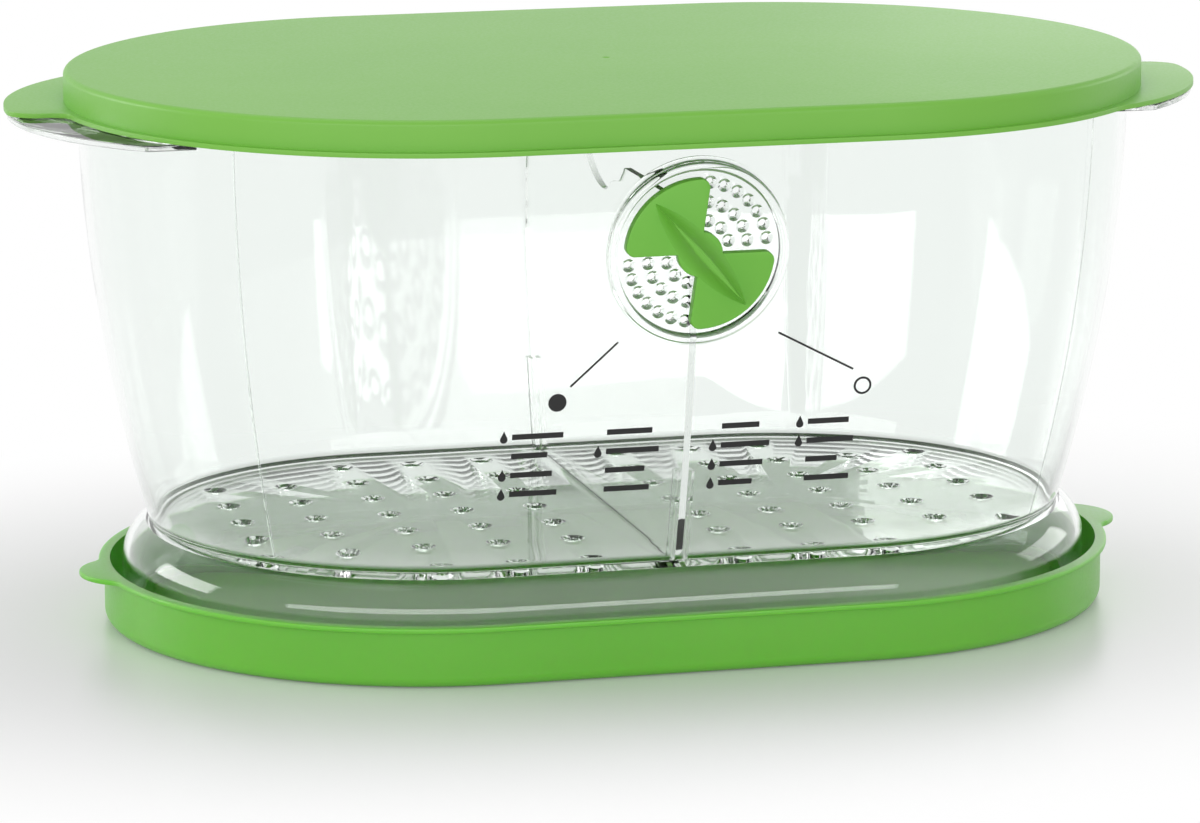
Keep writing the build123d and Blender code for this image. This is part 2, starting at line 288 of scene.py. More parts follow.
def colour(text):
    values = [int(text[place:place + 2], 16) / 255 for place in (1, 3, 5)]
    linear = [value / 12.92 if value <= 0.04045 else ((value + 0.055) / 1.055) ** 2.4 for value in values]
    return (*linear, 1.0)


def addNode(tree, kind, settings=None, links=None):
    node = tree.nodes.new(kind)
    for name, value in (settings or {}).items():
        if isinstance(name, str) and hasattr(node, name):
            setattr(node, name, value)
        else:
            node.inputs[name].default_value = value
    for name, source in (links or {}).items():
        tree.links.new(source, node.inputs[name])
    return node


def seenDirectly(tree):
    # 1 for what the camera sees, also in a reflection or through clear plastic, and 0 for light on surfaces
    rays = addNode(tree, "ShaderNodeLightPath")
    seen = addNode(
        tree, "ShaderNodeMath", {"operation": "MAXIMUM"},
        {0: rays.outputs["Is Camera Ray"], 1: rays.outputs["Is Glossy Ray"]},
    )
    seenToo = addNode(
        tree, "ShaderNodeMath", {"operation": "MAXIMUM"},
        {0: seen.outputs[0], 1: rays.outputs["Is Transmission Ray"]},
    )
    return seenToo.outputs[0]


def newMaterial(name):
    material = bpy.data.materials.new(name)
    material.use_nodes = True
    material.node_tree.nodes.clear()
    return material, material.node_tree


def mouldedPolypropylene(name, hexColour, hexDeep, roughness, wave, waveSize, milky=0.0):
    # Injection-moulded polypropylene: satin skin and a faint waviness where it cooled.
    # milky above 0 lets some light into the plastic.
    material, tree = newMaterial(name)
    place = addNode(tree, "ShaderNodeTexCoord")
    flow = addNode(
        tree, "ShaderNodeTexNoise",
        {"Scale": 1 / (waveSize * mm), "Detail": 2.0, "Roughness": 0.45}, {"Vector": place.outputs["Object"]},
    )
    grain = addNode(
        tree, "ShaderNodeTexNoise",
        {"Scale": 1 / (0.9 * mm), "Detail": 2.0}, {"Vector": place.outputs["Object"]},  # 0.9 mm satin grain
    )
    tint = addNode(
        tree, "ShaderNodeMix", {"data_type": "RGBA", 6: colour(hexDeep), 7: colour(hexColour)},
        {0: flow.outputs["Fac"]},
    )
    sheen = addNode(
        tree, "ShaderNodeMapRange",
        {"From Min": 0.3, "From Max": 0.7, "To Min": roughness - 0.03, "To Max": roughness + 0.04},
        {"Value": grain.outputs["Fac"]},
    )
    swell = addNode(
        tree, "ShaderNodeBump", {"Strength": 1.0, "Distance": wave * mm}, {"Height": flow.outputs["Fac"]}
    )
    skin = addNode(
        tree, "ShaderNodeBump", {"Strength": 0.25, "Distance": 0.012 * mm},
        {"Height": grain.outputs["Fac"], "Normal": swell.outputs["Normal"]},
    )
    shader = addNode(
        tree, "ShaderNodeBsdfPrincipled",
        {
            "IOR": 1.49, "Subsurface Weight": milky, "Subsurface Scale": 0.004,
            "Subsurface Radius": (0.45, 1.0, 0.25),
        },
        {
            "Base Color": tint.outputs[2], "Roughness": sheen.outputs["Result"],
            "Normal": skin.outputs["Normal"],
        },
    )
    addNode(tree, "ShaderNodeOutputMaterial", links={"Surface": shader.outputs["BSDF"]})
    return material


def clearAcrylonitrile(name, hexColour, roughness, wave):
    # Clear styrene acrylonitrile, polished mould: glassy, very slightly grey at its edges.
    material, tree = newMaterial(name)
    place = addNode(tree, "ShaderNodeTexCoord")
    flow = addNode(
        tree, "ShaderNodeTexNoise",
        {"Scale": 1 / (38 * mm), "Detail": 1.0}, {"Vector": place.outputs["Object"]},  # 38 mm mould waves
    )
    skin = addNode(
        tree, "ShaderNodeBump", {"Strength": 1.0, "Distance": wave * mm}, {"Height": flow.outputs["Fac"]}
    )
    shader = addNode(
        tree, "ShaderNodeBsdfPrincipled",
        {
            "Base Color": colour(hexColour), "Roughness": roughness, "IOR": 1.47,
            "Transmission Weight": 1.0,
        },
        {"Normal": skin.outputs["Normal"]},
    )
    addNode(tree, "ShaderNodeOutputMaterial", links={"Surface": shader.outputs["BSDF"]})
    return material


def padPrintedInk(name, hexColour):
    # Pad-printed black ink: thin, slightly satin, with a little mottle from the pad.
    material, tree = newMaterial(name)
    place = addNode(tree, "ShaderNodeTexCoord")
    mottle = addNode(
        tree, "ShaderNodeTexNoise",
        {"Scale": 1 / (0.6 * mm), "Detail": 1.0}, {"Vector": place.outputs["Object"]},  # 0.6 mm mottle
    )
    sheen = addNode(
        tree, "ShaderNodeMapRange", {"To Min": 0.35, "To Max": 0.5}, {"Value": mottle.outputs["Fac"]}
    )
    shader = addNode(
        tree, "ShaderNodeBsdfPrincipled", {"Base Color": colour(hexColour)},
        {"Roughness": sheen.outputs["Result"]},
    )
    addNode(tree, "ShaderNodeOutputMaterial", links={"Surface": shader.outputs["BSDF"]})
    return material


lidPlastic = mouldedPolypropylene("moulded_polypropylene_lid", "#7dc048", "#72b83d", 0.4, 0.5, 60)
trayPlastic = mouldedPolypropylene("moulded_polypropylene_tray", "#79c646", "#6cbd38", 0.32, 0.2, 60, 0.7)
dialPlastic = mouldedPolypropylene("moulded_polypropylene_dial", "#75c043", "#6fbb3e", 0.4, 0.02, 15)
clearBody = clearAcrylonitrile("clear_styrene_acrylonitrile", "#f7faf8", 0.015, 0.05)
clearPanel = clearAcrylonitrile("clear_styrene_acrylonitrile_panel", "#fdfefd", 0.02, 0.03)
printInk = padPrintedInk("pad_printed_ink", "#151515")
print("materials made")


# Container

container = {
    "floorHeight": 25.2, "floorThickness": 2.2, "floorCorner": 3.0,
    "rimHeight": 146.2, "beadHeight": 3.0, "beadReach": 1.3,
    "footRadius": 82.2, "footWall": 2.0, "footDraft": 0.4, "footBottom": 2.0,
    "shoulderCurve": 12.55, "shoulderHeight": 16.0,
    "cornerSteps": 8,
    "edgeRound": 0.5,
}
ledge = {
    "curve": 75.0, "reach": 18.9, "halfWidth": 56.5, "corner": 2.2,
    "low": 137.2, "thickness": 1.6, "edgeRound": 0.4,
    "roundedFrom": 3.0,  # how far out of the wall its rounded edge begins
}
drain = {
    "radius": 2.4, "pitch": 20.0, "edge": 6.9, "rimDepth": 0.6,
    "drillBelow": 3.0, "drillAbove": 0.4,
    "drillFlare": 1.5,  # how much wider the drill's top is than the hole
}
guide = {
    "inner": 1.1, "width": 1.3, "depth": 4.0, "height": 25.0, "steps": 8,
    "bite": 0.6,  # into the floor
    "drawnAt": 70.0,  # the ribs are drawn here and then brought on to the wall
}
vent = {
    "height": 111.5, "ringInner": 21.4, "ringOuter": 23.8, "ringRise": 2.0, "ringInset": 1.8,
    "skirtReach": 1.3, "skirtRise": 0.9, "skirtEnd": 262.0,  # the ring's soft foot on the wall
    "cutRadius": 22.0, "cutReach": 6.0, "faceThickness": 2.15, "stemHole": 3.1,
    "holeRadius": 1.0, "sinkRadius": 1.75, "sinkDepth": 0.8,
    "rows": ((18.3, 7, 12.0), (13.2, 5, 17.0), (8.4, 3, 27.0)),  # radius, holes, degrees apart
}

ventTilt = math.asin((wall["uprightHeight"] - vent["height"]) / wall["curve"])
ventOut = Vector((0, -math.cos(ventTilt), -math.sin(ventTilt)))
ventUp = Vector((0, -math.sin(ventTilt), math.cos(ventTilt)))
ventPlace = Matrix.Translation((0, -wallRadius(vent["height"]), vent["height"])) @ Matrix(
    ((1, 0, 0), ventUp, ventOut)
).transposed().to_4x4()


def roundCorner(centre, radius, start, end, steps):
    # points of a quarter or part turn in a section
    return [polar(centre, radius, start + (end - start) * step / steps) for step in range(steps + 1)]


def containerSection():
    c = container
    floorTop = c["floorHeight"] + c["floorThickness"]
    shoulderCentre = (c["footRadius"] - c["shoulderCurve"], c["shoulderHeight"])
    innerCurve = c["shoulderCurve"] - c["footWall"]
    startAngle = math.degrees(math.acos((wallRadius(floorTop) - shoulderCentre[0]) / c["shoulderCurve"]))
    wallFoot = polar(shoulderCentre, c["shoulderCurve"], startAngle)
    innerStart = math.degrees(math.asin((c["floorHeight"] - c["shoulderHeight"]) / innerCurve))
    edge = wallRadius(floorTop + c["floorCorner"], wall["thickness"])
    cornerCentre = (edge - c["floorCorner"], floorTop + c["floorCorner"])
    heights = [
        floorTop + c["floorCorner"] + (c["rimHeight"] - floorTop - c["floorCorner"]) * step / wall["steps"]
        for step in range(wall["steps"] + 1)
    ]
    beadLow = c["rimHeight"] - c["beadHeight"]
    beadRadius = wall["radius"] + c["beadReach"]
    outer = [
        wallFoot[1] + (beadLow - wallFoot[1]) * step / wall["steps"] for step in range(wall["steps"] + 1)
    ]
    section = [(0, floorTop)]
    section += roundCorner(cornerCentre, c["floorCorner"], -90, 0, c["cornerSteps"])
    section += [(wallRadius(height, wall["thickness"]), height) for height in heights[1:]]
    section += [(beadRadius, c["rimHeight"]), (beadRadius, beadLow)]
    section += [(wallRadius(height), height) for height in reversed(outer)]
    section += roundCorner(shoulderCentre, c["shoulderCurve"], startAngle, 0, 3 * c["cornerSteps"])[1:]
    section += [
        (c["footRadius"] - c["footDraft"], c["footBottom"]),
        (c["footRadius"] - c["footDraft"] - c["footWall"], c["footBottom"]),
    ]
    section += roundCorner(shoulderCentre, innerCurve, 0, innerStart, 2 * c["cornerSteps"])
    section += [(0, c["floorHeight"])]
    return section


def ledgePlate():
    g = ledge
    centre = (plan["halfStraight"] + wall["radius"] + g["reach"] - g["curve"], 0)
    wallMiddle = wallRadius(g["low"] + g["thickness"], wall["thickness"] / 2)
    cornerY = g["halfWidth"] - g["corner"]
    corner = (centre[0] + math.sqrt((g["curve"] - g["corner"]) ** 2 - cornerY**2), -cornerY)
    root = (plan["halfStraight"] + math.sqrt(wallMiddle**2 - g["halfWidth"] ** 2), -g["halfWidth"])
    sweep = direction(centre, corner)
    inward = direction((plan["halfStraight"], 0), root)
    bm = bmesh.new()
    drawPath(bm, root, [
        (corner[0], -g["halfWidth"]),
        (*corner, 90 + sweep),
        (*centre, -2 * sweep),
        (corner[0], -corner[1], 90 + sweep),
        (root[0], -root[1]),
        (plan["halfStraight"], 0, 2 * inward),
    ], arcStep=2.0)
    fillPlate(bm, g["low"], g["thickness"])
    outside = wallMiddle + g["roundedFrom"]

    def isRim(edge):
        middle = (edge.verts[0].co + edge.verts[1].co) / 2
        away = math.hypot(middle.x - plan["halfStraight"], middle.y)
        return isSharp(edge, 60) and away > outside and isLevel(edge)

    roundEdges(bm, isRim, g["edgeRound"])
    halfTurnCopy(bm)
    return bm


def drainPlaces():
    floorTop = container["floorHeight"] + container["floorThickness"]
    reach = wallRadius(floorTop, wall["thickness"]) - drain["edge"]
    columns = int((plan["halfStraight"] + reach) / drain["pitch"])
    rows = int(reach / drain["pitch"])
    places = []
    for column in range(1, columns + 1):
        for row in range(-rows, rows + 1):
            x, y = column * drain["pitch"], row * drain["pitch"]
            if math.hypot(max(x - plan["halfStraight"], 0), y) <= reach:
                places += [(x, y), (-x, y)]
    return places


def drainDrills():
    # straight holes with a flared rim at the top
    g = drain
    bm = bmesh.new()
    low = container["floorHeight"]
    top = low + container["floorThickness"]
    flareLow = top - g["rimDepth"]
    for place in drainPlaces():
        post(bm, place, g["radius"], g["radius"], low - g["drillBelow"], flareLow, 20)
        post(bm, place, g["radius"], g["radius"] + g["drillFlare"], flareLow, top + g["drillAbove"], 20)
    joinPosts(bm, flareLow)
    bmesh.ops.recalc_face_normals(bm, faces=bm.faces)
    return bm


def guideRibs():
    g = guide
    bm = bmesh.new()
    floorTop = container["floorHeight"] + container["floorThickness"]
    for side in (1, -1):
        for face in (1, -1):
            x = side * (g["inner"] + g["width"] / 2)
            y = face * g["drawnAt"]
            block(
                bm, (x - g["width"] / 2, y - 1, floorTop - g["bite"]),
                (x + g["width"] / 2, y + 1, floorTop + g["height"]),
            )
    upright = [edge for edge in bm.edges if isUpright(edge)]
    bmesh.ops.subdivide_edges(bm, edges=upright, cuts=g["steps"], use_grid_fill=True)
    for vert in bm.verts:
        face = math.copysign(1, vert.co.y)
        isOuter = abs(vert.co.y) > g["drawnAt"]
        depth = wall["thickness"] / 2 if isOuter else wall["thickness"] + g["depth"]
        vert.co.y = face * wallRadius(vert.co.z, depth)
    bmesh.ops.recalc_face_normals(bm, faces=bm.faces)
    return bm


def ventHolePlaces():
    # two fields of holes, opposite each other
    places = []
    for radius, count, step in vent["rows"]:
        for index in range(count):
            angle = 45 + (index - (count - 1) / 2) * step
            places += [polar((0, 0), radius, angle), polar((0, 0), radius, angle + 180)]
    return places


def ventSolid():
    v = vent
    crest = (v["ringInner"] + v["ringOuter"]) / 2
    ringRound = (v["ringOuter"] - v["ringInner"]) / 2
    section = [(v["ringInner"], -v["ringInset"])]
    section += roundCorner((crest, v["ringRise"] - ringRound), ringRound, 180, 0, 12)
    foot = (v["ringOuter"] + v["skirtReach"], v["skirtRise"])
    section += roundCorner(foot, v["skirtReach"], 180, v["skirtEnd"], 8)
    section += [(v["ringOuter"] + v["skirtReach"], -v["ringInset"])]
    ring = asObject(spinRound(section, 144), "ring")
    faceMesh = bmesh.new()
    post(faceMesh, (0, 0), crest, crest, -v["faceThickness"], 0, 96)
    face = asObject(faceMesh, "face")
    drills = bmesh.new()
    wide = v["sinkRadius"] + (v["sinkRadius"] - v["holeRadius"]) / 4  # the cone goes a quarter past the face
    for place in ventHolePlaces():
        post(drills, place, v["holeRadius"], v["holeRadius"], -2 * v["faceThickness"], -v["sinkDepth"], 24)
        post(drills, place, v["holeRadius"], wide, -v["sinkDepth"], v["sinkDepth"] / 4, 24)
    joinPosts(drills, -v["sinkDepth"])
    post(drills, (0, 0), v["stemHole"], v["stemHole"], -2 * v["faceThickness"], v["faceThickness"], 32)
    bmesh.ops.recalc_face_normals(drills, faces=drills.faces)
    solid = carve(face, ("DIFFERENCE", asObject(drills, "drills")))
    solid = carve(solid, ("UNION", ring))
    solid.data.transform(ventPlace)
    return solid


def makeContainer():
    bm = carryRound(containerSection())
    beadLow = container["rimHeight"] - container["beadHeight"] - 0.5

    def isRimOrFoot(edge):
        height = (edge.verts[0].co.z + edge.verts[1].co.z) / 2
        atEither = height > beadLow or height < container["footBottom"] + 0.1
        return isLevel(edge) and isSharp(edge, 50) and atEither

    roundEdges(bm, isRimOrFoot, container["edgeRound"])
    piece = asObject(bm, "clear_container")
    hole = bmesh.new()
    post(hole, (0, 0), vent["cutRadius"], vent["cutRadius"], -vent["cutReach"], vent["cutReach"], 96)
    hole.transform(ventPlace)
    carve(
        piece,
        ("DIFFERENCE", asObject(hole, "hole")),
        ("UNION", asObject(ledgePlate(), "ledges")),
        ("UNION", asObject(guideRibs(), "guides")),
        ("DIFFERENCE", asObject(drainDrills(), "drains")),
    )
    carve(piece, ("UNION", ventSolid()))
    return finishPiece(piece, clearBody, "container", ["container"])


makeContainer()

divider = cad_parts["divider"]
divider.data.materials.clear()
divider.data.materials.append(clearPanel)


# Lid

lid = {
    "radius": 95.65, "innerRadius": 94.05, "top": 148.3, "underside": 146.5, "skirtBottom": 139.1,
    "edgeRound": 1.5, "plugThickness": 1.2, "plugDepth": 3.0, "plugPlay": 0.6,
    "lipReach": 2.2, "lipThickness": 1.2, "lipRound": 0.4,
    "tabCurve": 75.0, "tabReach": 14.0, "tabBackEdge": 7.0, "tabCorner": 8.0,
    "rootRound": 5.0, "frontBlend": 25.0,
    "gateRadius": 1.1, "gateBottom": 0.66, "gateDepth": 0.35,  # the small dimple where it was filled
}


def lidSection():
    g = lid
    plugOuter = wallRadius(g["underside"] - g["plugDepth"], wall["thickness"]) - g["plugPlay"]
    plugLow = g["underside"] - g["plugDepth"]
    corner = (g["radius"] - g["edgeRound"], g["top"] - g["edgeRound"])
    return [(0, g["top"])] + roundCorner(corner, g["edgeRound"], 90, 0, 8) + [
        (g["radius"], g["skirtBottom"]),
        (g["innerRadius"], g["skirtBottom"]),
        (g["innerRadius"], g["underside"]),
        (plugOuter, g["underside"]),
        (plugOuter, plugLow),
        (plugOuter - g["plugThickness"], plugLow),
        (plugOuter - g["plugThickness"], g["underside"]),
        (0, g["underside"]),
    ]


def lipHalf(bm):
    g = lid
    end = (plan["halfStraight"], 0)
    lip = g["radius"] + g["lipReach"]
    centre = (end[0] + lip + g["tabReach"] - g["tabCurve"], 0)
    blend = touching(end, lip + g["frontBlend"], centre, g["tabCurve"] + g["frontBlend"])
    cornerReach = g["tabCurve"] - g["tabCorner"]
    cornerY = g["tabBackEdge"] - g["tabCorner"]
    corner = (centre[0] + math.sqrt(cornerReach**2 - cornerY**2), cornerY)
    rootY = g["tabBackEdge"] + g["rootRound"]
    root = (end[0] + math.sqrt((lip + g["rootRound"]) ** 2 - rootY**2), rootY)
    toBlend = direction(end, blend)
    fromBlend = direction(centre, blend)
    toCorner = direction(centre, corner)
    toRoot = direction(end, root)
    drawPath(bm, (end[0], -lip), [
        (*end, 90 + toBlend),
        (*blend, fromBlend - toBlend),
        (*centre, toCorner - fromBlend),
        (*corner, 90 - toCorner),
        (root[0], g["tabBackEdge"]),
        (*root, toRoot - 90),
        (*end, 90 - toRoot),
    ], arcStep=2.0)


def ringPlate(drawHalf, innerRadius, low, thickness, edgeRound):
    # a flat ring between a drawn outline and the keeper's plan at innerRadius
    bm = bmesh.new()
    drawHalf(bm)
    halfTurnCopy(bm)
    closeEnds(bm)
    half = plan["halfStraight"]
    inner = bmesh.new()
    drawPath(inner, (half, -innerRadius), [(half, 0, 180.0)], arcStep=2.0)
    halfTurnCopy(inner)
    closeEnds(inner)
    addInto(bm, inner)
    bmesh.ops.triangle_fill(bm, use_beauty=True, use_dissolve=False, edges=list(bm.edges), normal=(0, 0, 1))
    raised = bmesh.ops.extrude_face_region(bm, geom=list(bm.faces))
    verts = only(raised["geom"], bmesh.types.BMVert)
    bmesh.ops.translate(bm, verts=verts, vec=(0, 0, thickness))
    bmesh.ops.translate(bm, verts=bm.verts, vec=(0, 0, low))
    bmesh.ops.recalc_face_normals(bm, faces=bm.faces)

    def isOuterRim(edge):
        middle = (edge.verts[0].co + edge.verts[1].co) / 2
        away = math.hypot(max(abs(middle.x) - half, 0), middle.y)
        return isLevel(edge) and isSharp(edge, 60) and away > innerRadius + 0.5

    roundEdges(bm, isOuterRim, edgeRound)
    return bm


def makeLid():
    g = lid
    piece = asObject(carryRound(lidSection()), "lid_with_tabs")
    gate = bmesh.new()
    post(gate, (0, 0), g["gateBottom"], g["gateRadius"], g["top"] - g["gateDepth"], g["top"] + 0.01)
    lip = ringPlate(
        lipHalf, g["radius"] - seam["bite"], g["skirtBottom"] + seam["step"], g["lipThickness"], g["lipRound"]
    )
    carve(piece, ("DIFFERENCE", asObject(gate, "gate")), ("UNION", asObject(lip, "lip")))
    return finishPiece(piece, lidPlastic, "lid", ["lid"])


makeLid()


# Tray

tray = {
    "radius": 86.9, "innerRadius": 85.4, "height": 16.2, "floor": 2.0, "corner": 3.0,
    "insideCorner": 1.5, "ribRadius": 79.0, "ribThickness": 1.2, "ribHeight": 3.0,
    "flangeReach": 1.5, "flangeThickness": 1.4, "flangeRound": 0.4,
    "tabCurve": 15.0, "tabReach": 6.4, "tabBlend": 6.0,
}


def traySection():
    g = tray
    lowCorner = (g["radius"] - g["corner"], g["corner"])
    inCorner = (g["innerRadius"] - g["insideCorner"], g["floor"] + g["insideCorner"])
    return [(0, 0)] + roundCorner(lowCorner, g["corner"], -90, 0, 8) + [
        (g["radius"], g["height"]),
        (g["innerRadius"], g["height"]),
    ] + roundCorner(inCorner, g["insideCorner"], 0, -90, 5) + [
        (g["ribRadius"], g["floor"]),
        (g["ribRadius"], g["floor"] + g["ribHeight"]),
        (g["ribRadius"] - g["ribThickness"], g["floor"] + g["ribHeight"]),
        (g["ribRadius"] - g["ribThickness"], g["floor"]),
        (0, g["floor"]),
    ]


def flangeHalf(bm):
    g = tray
    end = (plan["halfStraight"], 0)
    edge = g["radius"] + g["flangeReach"]
    centre = (end[0] + edge + g["tabReach"] - g["tabCurve"], 0)
    blend = touching(end, edge + g["tabBlend"], centre, g["tabCurve"] + g["tabBlend"])
    toBlend = direction(end, blend)
    fromBlend = direction(centre, blend)
    drawPath(bm, (end[0], -edge), [
        (*end, 90 + toBlend),
        (*blend, fromBlend - toBlend),
        (*centre, -2 * fromBlend),
        (blend[0], -blend[1], fromBlend - toBlend),
        (*end, 90 + toBlend),
    ], arcStep=2.0)


def makeTray():
    g = tray
    piece = asObject(carryRound(traySection()), "water_tray")
    flange = ringPlate(
        flangeHalf, g["radius"] - seam["bite"], g["height"] - g["flangeThickness"] - seam["step"],
        g["flangeThickness"], g["flangeRound"],
    )
    carve(piece, ("UNION", asObject(flange, "flange")))
    return finishPiece(piece, trayPlastic, "tray", ["tray"])


makeTray()


# Vent dial

dial = {
    "radius": 19.7, "thickness": 2.6, "gap": 0.4, "leafAngle": 97.0, "openAngle": 131.5,
    "corner": 2.4, "edgeRound": 0.5, "hubRadius": 5.9,
    "gripLength": 37.0, "gripWidth": 9.0, "gripHeight": 5.6,
    "gripBite": 0.3,
    "gripSteps": (  # share of the height, of the length and of the width
        (0.0, 1.0, 1.0), (0.08, 0.97, 0.82), (0.35, 0.91, 0.52),
        (0.75, 0.83, 0.27), (0.94, 0.79, 0.2), (1.0, 0.76, 0.1),
    ),
    "stemRadius": 3.0, "collarRadius": 5.0, "collarBottom": 0.05, "stemBite": 0.5,
    "snapRadius": 3.9, "snapStart": -2.3, "snapLength": 2.2, "snapTip": 2.6, "snapSlot": 1.2,
}


def dialPlate():
    g = dial
    half = g["leafAngle"] / 2
    reach = g["radius"] - g["corner"]
    inset = math.degrees(math.asin(g["corner"] / reach))
    run = reach * math.cos(math.radians(inset))
    lower = polar((0, 0), reach, inset - half)
    upper = polar((0, 0), reach, half - inset)
    bm = bmesh.new()
    drawPath(bm, polar((0, 0), g["hubRadius"], half - 180), [
        (0, 0, 180 - 2 * half),
        polar((0, 0), run, -half),
        (*lower, 90 + inset),
        (0, 0, 2 * (half - inset)),
        (*upper, 90 + inset),
        polar((0, 0), g["hubRadius"], half),
    ], arcStep=3.0)
    halfTurnCopy(bm)
    fillPlate(bm, g["gap"], g["thickness"])
    front = g["gap"] + g["thickness"]

    def isFrontRim(edge):
        return isSharp(edge, 60) and min(vert.co.z for vert in edge.verts) > front - level

    roundEdges(bm, isFrontRim, g["edgeRound"])
    return bm


def dialGrip():
    g = dial
    halfLength, halfWidth = g["gripLength"] / 2, g["gripWidth"] / 2
    radius = (halfLength**2 + halfWidth**2) / (2 * halfWidth)
    sweep = 2 * math.degrees(math.asin(halfLength / radius))
    bm = bmesh.new()
    drawPath(bm, (-halfLength, 0), [
        (0, radius - halfWidth, sweep),
        (0, halfWidth - radius, sweep),
    ], arcStep=1.5)
    bmesh.ops.remove_doubles(bm, verts=bm.verts, dist=merge["outline"])
    bmesh.ops.contextual_create(bm, geom=list(bm.edges))
    front = g["gap"] + g["thickness"]
    bmesh.ops.translate(bm, verts=bm.verts, vec=(0, 0, front - g["gripBite"]))
    faces = list(bm.faces)
    before = (0.0, 1.0, 1.0)
    for share, length, width in g["gripSteps"]:
        raised = bmesh.ops.extrude_face_region(bm, geom=faces)["geom"]
        verts = only(raised, bmesh.types.BMVert)
        rise = (share - before[0]) * g["gripHeight"] + (g["gripBite"] if share == 0 else 0)
        bmesh.ops.scale(bm, verts=verts, vec=(length / before[1], width / before[2], 1))
        bmesh.ops.translate(bm, verts=verts, vec=(0, 0, rise))
        inside = [face for face in faces if share > 0 and face.is_valid]  # the old cap, now inside
        bmesh.ops.delete(bm, geom=inside, context="FACES_ONLY")
        faces = only(raised, bmesh.types.BMFace)
        before = (share, length, width)
    bmesh.ops.recalc_face_normals(bm, faces=bm.faces)
    return bm


def dialStem():
    g = dial
    snapEnd = g["snapStart"] - g["snapLength"]
    front = g["gap"] + g["thickness"] - g["stemBite"]
    stem = spinRound([
        (0, front),
        (g["collarRadius"], front),
        (g["collarRadius"], g["collarBottom"]),
        (g["stemRadius"], g["collarBottom"]),
        (g["stemRadius"], g["snapStart"]),
        (g["snapRadius"], g["snapStart"]),
        (g["snapTip"], snapEnd),
        (0, snapEnd),
    ], 48)
    slot = bmesh.new()
    wide = 2 * g["snapRadius"]
    block(slot, (-g["snapSlot"] / 2, -wide, snapEnd - 1), (g["snapSlot"] / 2, wide, g["snapStart"] + 1))
    return carve(asObject(stem, "stem"), ("DIFFERENCE", asObject(slot, "slot")))


def makeDial():
    bm = dialPlate()
    addInto(bm, dialGrip())
    turn = Matrix.Rotation(math.radians(dial["openAngle"]), 3, "Z")
    bmesh.ops.rotate(bm, verts=bm.verts, cent=(0, 0, 0), matrix=turn)
    stem = dialStem()
    bm.from_mesh(stem.data)
    bpy.data.objects.remove(stem)
    bm.transform(ventPlace)
    piece = asObject(bm, "bow_tie_dial")
    return finishPiece(piece, dialPlastic, "vent_dial", ["vent_dial"], sharpAngle=35)


makeDial()


# Fine lines where the container's mould parted, down the front of both round ends

parting = {
    "angle": 45.0, "width": 0.45, "proud": 0.08, "sunk": 0.4,
    "low": 29.0, "high": 141.0, "steps": 30,
}


def makeMouldLines():
    g = parting
    bm = bmesh.new()
    for side in (1, -1):
        line = bmesh.new()
        block(line, (-g["width"] / 2, 0, g["low"]), (g["width"] / 2, 1, g["high"]))
        upright = [edge for edge in line.edges if isUpright(edge)]
        bmesh.ops.subdivide_edges(line, edges=upright, cuts=g["steps"], use_grid_fill=True)
        for vert in line.verts:
            isFront = vert.co.y < 0.5
            surface = -wallRadius(vert.co.z)
            vert.co.y = surface - g["proud"] if isFront else g["sunk"] + surface
        turn = Matrix.Rotation(math.radians(side * g["angle"]), 4, "Z")
        line.transform(Matrix.Translation((side * plan["halfStraight"], 0, 0)) @ turn)
        addInto(bm, line)
    return finishPiece(asObject(bm, "mould_lines"), clearBody, "container")


makeMouldLines()


# Printed marks on the front wall: pointers, a ring and a dot, and rows of drops and bars

marks = {
    "proud": 0.02, "thickness": 0.04,
    "pointers": (((-32.3, 77.3), (-20.2, 88.6)), ((42.8, 78.2), (22.2, 89.1))),
    "pointerWidth": 0.55,
    "dotPlace": (-35.5, 73.2), "ringPlace": (45.6, 73.6), "signRadius": 2.4, "ringWidth": 0.6,
    "barHeight": 1.5, "rowGap": 5.2, "top": 64.5,
    "columns": (
        (-47.0, (13.5, 9.5, 11.0, 12.5), (1, 0, 1, 1)),
        (-22.0, (12.0, 14.0, 10.5, 12.0), (0, 1, 0, 0)),
        (8.5, (10.0, 13.0, 11.5, 9.0), (0, 1, 1, 1)),
        (31.5, (11.0, 12.5, 8.5, 12.0), (1, 1, 0, 0)),
    ),
    "dropRadius": 1.0, "dropTip": 2.3, "dropLead": 2.143, "dropSink": 0.6,
}


def layOnWall(bm):
    # a flat drawing in X and Y, one unit thick in Z, is laid on the front wall
    for vert in bm.verts:
        out = marks["proud"] + marks["thickness"] * (vert.co.z > 0.5)
        height = vert.co.y
        vert.co = (vert.co.x, -wallRadius(height) - out, height)


def addStroke(bm, start, end, width, steps=10):
    start, end = Vector((*start, 0)), Vector((*end, 0))
    along = end - start
    stroke = bmesh.new()
    block(stroke, (0, -width / 2, 0), (along.length, width / 2, 1))
    long = [edge for edge in stroke.edges if abs(edge.verts[0].co.x - edge.verts[1].co.x) > width]
    bmesh.ops.subdivide_edges(stroke, edges=long, cuts=steps, use_grid_fill=True)
    stroke.transform(Matrix.Translation(start) @ Matrix.Rotation(math.atan2(along.y, along.x), 4, "Z"))
    addInto(bm, stroke)


def addDrop(bm, place, radius):
    drop = bmesh.new()
    tip = marks["dropTip"] * radius
    lean = math.degrees(math.acos(radius / tip))
    drawPath(drop, (0, tip), [
        polar((0, 0), radius, 90 + lean),
        (0, 0, 360 - 2 * lean),
        (0, tip),
    ], arcStep=15)
    fillPlate(drop, 0, 1)
    bmesh.ops.translate(drop, verts=drop.verts, vec=(*place, 0))
    addInto(bm, drop)


